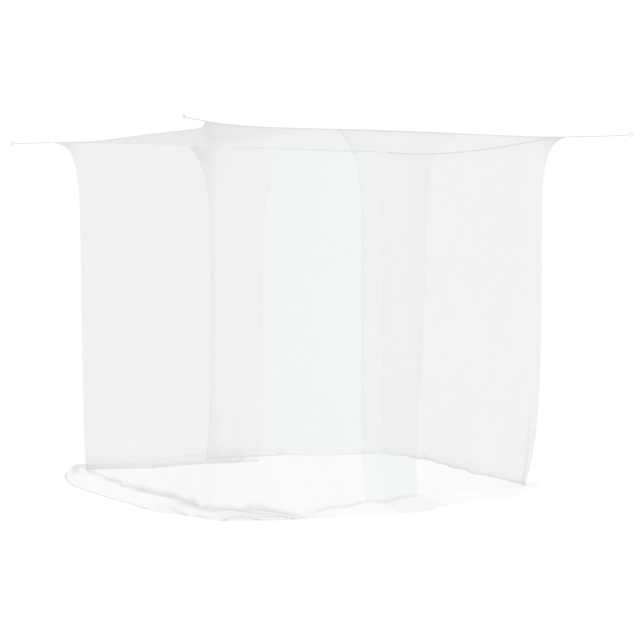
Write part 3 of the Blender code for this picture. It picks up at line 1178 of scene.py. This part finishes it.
# The feet. Columns: metres along the wall, how far out the crease is, and how far out the hem is.
FRONT_FEET = ((0.06, 0.02, 0.56), (0.13, 0.20, 0.62), (0.19, 0.22, 0.645), (0.27, 0.43, 0.65),
              (0.50, 0.41, 0.66), (0.66, 0.335, 0.68), (0.83, 0.31, 0.73), (1.22, 0.165, 0.545),
              (1.63, 0.10, 0.475), (1.88, 0.06, 0.306), (2.10, 0.02, 0.107))
RIGHT_FEET = ((0.16, -0.09, 0.03), (0.42, -0.07, 0.08), (0.70, -0.06, 0.18), (0.95, -0.02, 0.24),
              (1.22, 0.02, 0.28), (1.55, 0.05, 0.27), (1.80, 0.02, 0.19))
BACK_OUTER_FEET = ((0.155, 0.01, 0.36), (0.40, 0.04, 0.52), (0.64, 0.11, 0.58), (0.91, 0.11, 0.57),
                   (1.30, 0.10, 0.50))
BACK_INNER_FEET = ((0.90, -0.07, 0.57), (1.13, -0.06, 0.54), (1.40, -0.02, 0.46), (1.69, -0.08, 0.34),
                   (1.94, -0.05, 0.24), (2.10, 0.00, 0.14))
LEFT_FEET = ((0.06, -0.01, 0.11), (0.14, 0.00, 0.165), (0.33, 0.02, 0.250), (0.53, 0.045, 0.310),
             (0.68, 0.06, 0.345), (0.88, 0.075, 0.370), (1.10, 0.083, 0.372), (1.60, 0.04, 0.358),
             (1.86, 0.06, 0.330))

# The wall sheets, going round from the front. WallSheet says what each table's columns are.
SHEETS = (
    WallSheet("front_curtain_inner", FRONT, FRONT_FEET, span=(0.0, 1.400),
              covers=((0.0, 0.225, 0.26, 0.42), (0.10, 0.225, 0.26, 0.50), (0.27, 0.225, 0.26, 0.50),
                      (0.34, 0.185, 0.24, 0.28), (0.80, 0.170, 0.24, 0.22)),
              bunching=((0.0, 1.6, 0.018), (0.07, 1.5, 0.018), (0.12, 1.2, 0.014), (0.145, 2.4, 0.030),
                        (0.22, 2.2, 0.026), (0.27, 1.4, 0.014), (0.33, 0.7, 0.012), (0.45, 1.8, 0.012),
                        (0.75, 1.8, 0.012), (0.95, 1.2, 0.010), (1.4, 1.0, 0.010)),
              wrinkles=((0.0, 1.2), (0.25, 1.0), (0.35, 0.5), (0.60, 0.0)),
              hem_weights=((0.0, 0.4), (0.15, 0.6), (0.4, 0.7), (0.75, 0.5), (1.4, 0.3)),
              spread=(0.0, 0.220), shoulder=0.09, drift=(0.0, -0.175), drift_height=0.72, side_hem=0.0),
    WallSheet("front_curtain_outer", FRONT, FRONT_FEET, span=(0.939, LENGTH),
              covers=((0.7, 0.085, 0.14, 0.24), (0.88, 0.085, 0.16, 0.24), (0.98, 0.085, 0.20, 0.24),
                      (1.22, 0.085, 0.20, 0.24), (1.36, 0.170, 0.20, 0.22), (1.90, 0.170, 0.20, 0.22),
                      (2.2, 0.170, 0.24, 0.24)),
              bunching=((0.8, 1.5, 0.012), (1.15, 1.5, 0.014), (1.28, 0.5, 0.010), (2.0, 0.3, 0.010),
                        (2.2, 2.0, 0.020)),
              wrinkles=((0.8, 0.0), (2.0, 0.1), (2.2, 0.8)),
              hem_weights=((0.8, 0.5), (1.4, 0.3), (2.2, 0.5)),
              spread=(-0.163, 0.0), shoulder=0.13, drift=(-0.134, 0.0), lies_on=1.65, side_hem=0.28,
              side_hem_width=0.020, edge_bunch=4.0, edge_width=0.05, cool=((0.78, 1.24), (-0.02, 0.33))),
    WallSheet("side_wall_right", RIGHT, RIGHT_FEET, span=(0.0, WIDTH),
              covers=((0.0, 0.27, 0.27, 0.22), (0.12, 0.27, 0.27, 0.12), (0.18, 0.28, 0.29, 0.09),
                      (0.27, 0.28, 0.29, 0.09), (0.38, 0.28, 0.28, 0.09), (2.0, 0.28, 0.28, 0.10)),
              bunching=((0.0, 2.0, 0.020), (0.3, 1.2, 0.014), (1.0, 1.8, 0.020), (1.6, 1.5, 0.018),
                        (2.0, 0.4, 0.014)),
              wrinkles=((0.0, 0.6), (0.2, 0.1)),
              hem_weights=((0.0, 0.6), (0.3, 0.1)),
              folds=(Fold((0.05, 0.0), (0.11, 0.50), width=0.014, depth=0.001, gather=1.3, faded=0.9),)),
    WallSheet("back_curtain_outer", BACK, BACK_OUTER_FEET, span=(0.0, 1.296),
              covers=((0.0, 0.235, 0.18, 0.13), (0.86, 0.250, 0.16, 0.13), (0.95, 0.24, 0.24, 0.13)),
              bunching=((0.0, 0.5, 0.010), (0.16, 1.5, 0.018), (0.24, 0.6, 0.008), (0.5, 1.2, 0.007),
                        (0.86, 2.5, 0.010), (0.95, 1.5, 0.014), (1.3, 1.0, 0.020)),
              wrinkles=((0.0, 0.1),),
              hem_weights=((0.0, 0.2),),
              foot_height=0.05, spread=(0.0, 0.160), shoulder=0.15, lies_on=0.75, side_hem=0.45,
              side_hem_width=0.024, edge_bunch=1.2, edge_width=0.09, cool=((0.10, 0.90), (0.03, 3.0)),
              folds=(Fold((0.72, 0.0), (0.72, 0.06), width=0.020, depth=0.001, gather=0.8),
                     Fold((1.10, 0.06), (1.10, 0.42), width=0.036, depth=0.0005, gather=0.20, faded=0.5),
                     Fold((1.24, 0.04), (1.24, 0.46), width=0.034, depth=0.0005, gather=0.20, faded=0.6),
                     Fold((1.24, 0.05), (1.10, 0.05), width=0.070, depth=0.0005, gather=0.10, faded=0.2))),
    WallSheet("back_curtain_inner", BACK, BACK_INNER_FEET, span=(0.927, LENGTH),
              covers=((0.9, 0.053, 0.12, 0.13), (1.08, 0.053, 0.14, 0.13), (1.11, 0.053, 0.42, 0.13),
                      (1.26, 0.053, 0.42, 0.13), (1.33, 0.255, 0.29, 0.13), (1.80, 0.250, 0.28, 0.13),
                      (2.2, 0.245, 0.245, 0.20)),
              bunching=((0.9, 3.0, 0.014), (1.08, 3.0, 0.018), (1.12, 1.0, 0.020), (1.30, 1.2, 0.022),
                        (1.65, 1.4, 0.022), (1.85, 1.2, 0.045), (2.2, 1.4, 0.060)),
              wrinkles=((0.9, 0.1), (1.9, 0.2), (2.2, 1.0)),
              hem_weights=((0.9, 0.2), (2.2, 0.4)),
              foot_height=0.10, spread=(-0.160, 0.0), shoulder=0.27, drift=(0.060, 0.0), side_hem=0.15),
    WallSheet("side_wall_left", LEFT, LEFT_FEET, span=(0.0, WIDTH),
              covers=((0.25, 0.245, 0.255, 0.40), (0.38, 0.245, 0.255, 0.27),
                      (1.7, 0.245, 0.255, 0.27), (1.85, 0.245, 0.255, 0.40)),
              bunching=((0.0, 1.5, 0.020), (0.25, 1.2, 0.012), (0.50, 1.6, 0.013), (0.65, 2.2, 0.020),
                        (0.85, 1.6, 0.016), (1.00, 1.8, 0.018), (1.18, 2.6, 0.030), (1.35, 2.0, 0.019),
                        (1.50, 2.4, 0.030), (1.66, 2.0, 0.020), (1.85, 2.6, 0.033), (2.0, 2.0, 0.022)),
              wrinkles=((0.0, 2.0), (0.25, 1.6), (0.40, 0.0), (1.6, 0.0), (1.9, 1.2), (2.0, 1.4)),
              hem_weights=((0.0, 0.8), (0.3, 1.0), (0.9, 1.3), (1.6, 1.3), (1.8, 0.9), (2.0, 0.4))),
)


@dataclass(frozen=True)
class RoofPanel:
    """The roof: one sheet, nearly flat, hung from its edges and drawn out at four corners.

    Attributes:
        name: the solid that it stands for.
        covers: rows of metres from its left edge, and how much of the view the net takes away.
    """

    name: str = "roof_panel"
    covers: tuple[tuple[float, float], ...] = ((0.45, 0.42), (0.70, 0.25))

    def surface(self, across: np.ndarray, down: np.ndarray) -> tuple[np.ndarray, np.ndarray, np.ndarray]:
        """The cloth's places, with its x and y before the corners draw it.

        The edges' own sags are blended across the panel, and a sag that is the product of two parabolas
        is added in the middle.

        Args:
            across: 0 to 1 along X.
            down: 0 at the back and 1 at the front.

        Returns:
            The places, one row each, and the flat x and y.
        """
        x = (LENGTH / 2 + ROOF_OVERHANG) * (2 * crowded(across, ROOF_CROWDING) - 1)
        y = (WIDTH / 2 + ROOF_OVERHANG) * (1 - 2 * crowded(down, ROOF_CROWDING))
        part_x, part_y = x / LENGTH + 0.5, y / WIDTH + 0.5
        sag = (FRONT.edge_sag * bow(part_x) * (1 - part_y) + BACK.edge_sag * bow(part_x) * part_y
               + LEFT.edge_sag * bow(part_y) * (1 - part_x) + RIGHT.edge_sag * bow(part_y) * part_x
               + ROOF_SAG * bow(part_x) * bow(part_y))
        places = np.column_stack((x, y, CLOTH / 2 - sag))
        for corner in CORNERS.values():
            ways = [np.maximum(half - side * place, 0.0) for half, side, place
                    in zip((LENGTH / 2, WIDTH / 2), corner.side, (x, y))]
            drawn, lifted = corner.pull(ways, 0.0)
            places = moved(moved(places, drawn, corner.diagonal), lifted, UP)
        return places, x, y

    def marks(self, x: np.ndarray, y: np.ndarray) -> dict[str, np.ndarray]:
        """What the finish reads at each point: the nearest seam and the cover. A roof has no hem.

        The cover is that of its place from left to right, times one plus what is drawn together at
        the tips, which fades by e over TIP_WIDTH.

        Args:
            x: each point's flat x.
            y: and its flat y.

        Returns:
            Each attribute's name and numbers.
        """
        from_side = LENGTH / 2 + ROOF_OVERHANG - np.abs(x)
        from_front = WIDTH / 2 + ROOF_OVERHANG - np.abs(y)
        side_seam = np.where(x > 0, RIGHT.seam, LEFT.seam)
        front_seam = np.where(y > 0, BACK.seam, FRONT.seam)
        gather = np.ones_like(x)
        for corner in CORNERS.values():
            from_tip = LENGTH / 2 - corner.side[0] * x + WIDTH / 2 - corner.side[1] * y
            gather = gather + corner.roof_bunch * np.exp(-(from_tip + 2 * ROOF_OVERHANG) / TIP_WIDTH)
        (cover,) = read_rows(self.covers, x + LENGTH / 2)
        return {"hem_edge": np.ones_like(x), "hem_weight": np.zeros_like(x),
                "seam_edge": np.minimum(from_side, from_front),
                "seam_weight": np.where(from_side < from_front, side_seam, front_seam),
                "cover": gather * cover, "cool": np.zeros_like(x)}

    def build(self) -> bpy.types.Object:
        """Returns:
            The piece.
        """
        across, down = np.meshgrid(np.linspace(0.0, 1.0, ROOF_CELLS[0] + 1),
                                   np.linspace(0.0, 1.0, ROOF_CELLS[1] + 1))
        places, x, y = self.surface(across.ravel(), down.ravel())
        places = places.reshape(*across.shape, 3)
        uv = np.stack((crowded(across, ROOF_CROWDING), 1 - crowded(down, ROOF_CROWDING)), -1)
        mesh = grid_mesh(self.name, places, uv, "cloth")
        give_marks(mesh, self.marks(x, y))
        flat = (LENGTH, WIDTH)
        piece = add_piece(mesh, self.name, NETTING.material(self.name, flat), "netting")
        log.info("%s: %.2f by %.2f m flat, %.2f square metres drawn out", self.name, *flat, grid_area(places))
        return piece


@dataclass(frozen=True)
class CornerTie:
    """A taut braided cord from one corner of the roof, and the eye that it ends in.

    Attributes:
        name: the corner's name.
        ring_step: metres between the rings of points along the cord.
        sides: points round the cord.
        braid: how far the strands stand out, as a share of the radius.
    """

    name: str
    ring_step: float = 0.0010
    sides: int = 24
    braid: float = 0.10

    def route(self) -> np.ndarray:
        """The cord's middle: a straight line from the horn's tip that hangs as a shallow parabola.

        Returns:
            The points, one row each.
        """
        corner = CORNERS[self.name]
        tip = corner.tip + ROOF_OVERHANG * math.sqrt(2) + SEAM_GAP
        steps = np.linspace(0.0, 1.0, CORD_POINTS)
        height = corner.rise + (corner.end_rise - corner.rise) * steps - CORD_SAG * bow(steps)
        return corner.point(tip + (corner.cord_end - tip) * steps, height + CLOTH / 2)

    def tube(self, middle: np.ndarray, forward: np.ndarray, side: np.ndarray, length: float) -> np.ndarray:
        """A round section carried along a path, its radius raised where a strand crosses over.

        The radius is the cord's own, less a share times one minus the product of two waves that wind
        round it, one each way.

        Args:
            middle: the path's points.
            forward: its direction at each.
            side: a direction across it at each.
            length: metres along it.

        Returns:
            The places, rows by columns by three.
        """
        rows, columns = len(middle), self.sides + 1
        way = np.linspace(0.0, 1.0, rows)[:, None] * length
        turn = np.linspace(0.0, 2 * np.pi, columns)[None, :]
        winding = 2 * np.pi * way / CORD.lay_length
        strands = np.abs(np.sin(CORD.turns * (turn + winding)) * np.sin(CORD.turns * (turn - winding)))
        radius = CORD_DIAMETER / 2 * (1 - self.braid * (1 - strands))
        other = np.cross(forward, side)
        ring = (np.cos(turn)[..., None] * side[:, None, :] + np.sin(turn)[..., None] * other[:, None, :])
        return middle[:, None, :] + radius[..., None] * ring

    def build(self) -> list[bpy.types.Object]:
        """Returns:
            The two pieces.
        """
        corner = CORNERS[self.name]
        route = self.route()
        length = float(np.linalg.norm(np.diff(route, axis=0), axis=1).sum())
        eye = self.eye(corner)
        cord = self.cord(route, length)
        log.info("tie_cord_%s: %.3f m of cord", self.name, length)
        return [cord, eye]

    def cord(self, route: np.ndarray, length: float) -> bpy.types.Object:
        """The braided cord along its route, with a disc of faces drawn in to close each end.

        Args:
            route: the cord's points.
            length: metres along it.

        Returns:
            The piece.
        """
        corner = CORNERS[self.name]
        count = int(length / self.ring_step)
        tip, end = route[0], route[-1]
        steps = np.linspace(0.0, 1.0, count + 1)
        middle = tip + np.outer(steps, end - tip)
        middle[:, 2] -= CORD_SAG * bow(steps)
        forward = np.broadcast_to(corner.diagonal, middle.shape)
        side = np.broadcast_to(UP, middle.shape)
        places = self.tube(middle, forward, side, length)
        caps = [np.repeat(middle[[place]][:, None, :], self.sides + 1, 1) for place in (0, -1)]
        places = np.concatenate((caps[0], places, caps[1]))
        return self.dress(f"tie_cord_{self.name}", places, length, closed=False)

    def eye(self, corner: Corner) -> bpy.types.Object:
        """The eye: the same cord round a circle in the upright plane of the diagonal.

        Args:
            corner: the corner whose cord it ends.

        Returns:
            The piece.
        """
        centre = corner.point(corner.cord_end + SEAM_GAP + LOOP_RADIUS + CORD_DIAMETER / 2,
                              corner.end_rise + CLOTH / 2)[0]
        length = 2 * math.pi * LOOP_RADIUS
        turn = np.linspace(0.0, 2 * np.pi, int(length / self.ring_step) + 1)[:, None]
        outwards = np.cos(turn) * corner.diagonal + np.sin(turn) * np.array(UP)
        forward = -np.sin(turn) * corner.diagonal + np.cos(turn) * np.array(UP)
        places = self.tube(centre + LOOP_RADIUS * outwards, forward, outwards, length)
        return self.dress(f"tie_loop_{self.name}", places, length, closed=True)

    def dress(self, name: str, places: np.ndarray, length: float, closed: bool) -> bpy.types.Object:
        """Make a piece of cord from its places.

        Args:
            name: the solid that it stands for.
            places: rows by columns by three.
            length: metres along it.
            closed: whether it is a ring.

        Returns:
            The piece.
        """
        rows, columns = places.shape[:2]
        around, way = np.meshgrid(np.linspace(0.0, 1.0, columns), np.linspace(0.0, 1.0, rows))
        mesh = grid_mesh(name, places, np.stack((around, way), -1), "cord", closed)
        return add_piece(mesh, name, CORD.material(name, length), "tie_cord")


@dataclass(frozen=True)
class Studio:
    """The plain pale floor, the soft light and the camera.

    Attributes:
        eye: where the camera stands.
        turn: how far it is turned to the right of the canopy's own Y, in degrees.
        tilt: how far it looks down, in degrees.
        focal: its focal length, in millimetres.
        picture: the width of its picture, in millimetres.
        floor_size: metres.
        floor_colour: a plain pale one.
        sky: how bright the light from all round is.
        sun_share: how bright the lamp from above is, as a share of that.
        sun_softness: how wide the lamp is, in degrees.
        sun_turn: how far it leans about X and about Y, in degrees.
    """

    eye: tuple[float, float, float] = (-5.4706, -10.6829, -0.6466)
    turn: float = 27.515
    tilt: float = 2.225
    focal: float = 108.09
    picture: float = 36.0
    floor_size: float = 4000.0
    floor_colour: tuple[float, ...] = (0.80, 0.80, 0.80, 1.0)
    sky: float = 1.02
    sun_share: float = 0.925
    sun_softness: float = 70.0
    sun_turn: tuple[float, float] = (25.0, -20.0)

    def camera(self) -> None:
        """Stand the camera at the photograph's angle."""
        data = bpy.data.cameras.new("camera")
        data.sensor_width = self.picture
        data.lens = self.focal
        data.clip_end = 1.5 * self.floor_size
        camera = bpy.data.objects.new("camera", data)
        camera.location = self.eye
        camera.rotation_euler = (math.radians(90 - self.tilt), 0.0, math.radians(-self.turn))
        bpy.context.scene.collection.objects.link(camera)
        bpy.context.scene.camera = camera

    def floor(self) -> None:
        """Lay the floor, at the level on which the skirts' solids rest."""
        half = self.floor_size / 2
        corners = [(-half, -half), (half, -half), (half, half), (-half, half)]
        mesh = bpy.data.meshes.new("floor")
        mesh.from_pydata([(x, y, -HEIGHT) for x, y in corners], [], [(0, 1, 2, 3)])
        board = Board("floor")
        board.shader.inputs["Base Color"].default_value = self.floor_colour
        board.shader.inputs["Roughness"].default_value = 1.0
        board.shader.inputs["Specular IOR Level"].default_value = 0.0
        floor = bpy.data.objects.new("floor", mesh)
        floor.data.materials.append(board.material)
        bpy.context.scene.collection.objects.link(floor)

    def light(self) -> None:
        """Soft white light from all round, and a wide soft lamp from above."""
        world = bpy.data.worlds.new("studio")
        world.use_nodes = True
        backdrop = world.node_tree.nodes["Background"]
        backdrop.inputs["Color"].default_value = (1.0, 1.0, 1.0, 1.0)
        backdrop.inputs["Strength"].default_value = self.sky
        bpy.context.scene.world = world
        data = bpy.data.lights.new("soft_lamp", "SUN")
        data.energy = self.sky * self.sun_share
        data.angle = math.radians(self.sun_softness)
        lamp = bpy.data.objects.new("soft_lamp", data)
        lamp.rotation_euler = (*map(math.radians, self.sun_turn), 0.0)
        bpy.context.scene.collection.objects.link(lamp)
        bpy.context.scene.view_settings.view_transform = "Standard"

    def build(self) -> None:
        """Set up the camera, the floor and the light."""
        self.camera()
        self.floor()
        self.light()


@dataclass
class Canopy:
    """The whole canopy: its ties, its walls and its roof.

    Attributes:
        ties: one for each corner.
        walls: the six wall sheets.
        roof: the roof panel.
    """

    ties: list[CornerTie] = field(default_factory=lambda: [CornerTie(name) for name in CORNERS])
    walls: tuple[WallSheet, ...] = SHEETS
    roof: RoofPanel = RoofPanel()

    def build(self) -> None:
        """Build each sub-assembly in order."""
        for tie in self.ties:
            tie.build()
        for sheet in self.walls:
            sheet.build()
        self.roof.build()


def main() -> None:
    """Build the studio and the canopy, and note their sizes."""
    logging.basicConfig(level=logging.INFO, format="%(name)s: %(message)s")
    Studio().build()
    Canopy().build()


if __name__ == "__main__":
    main()
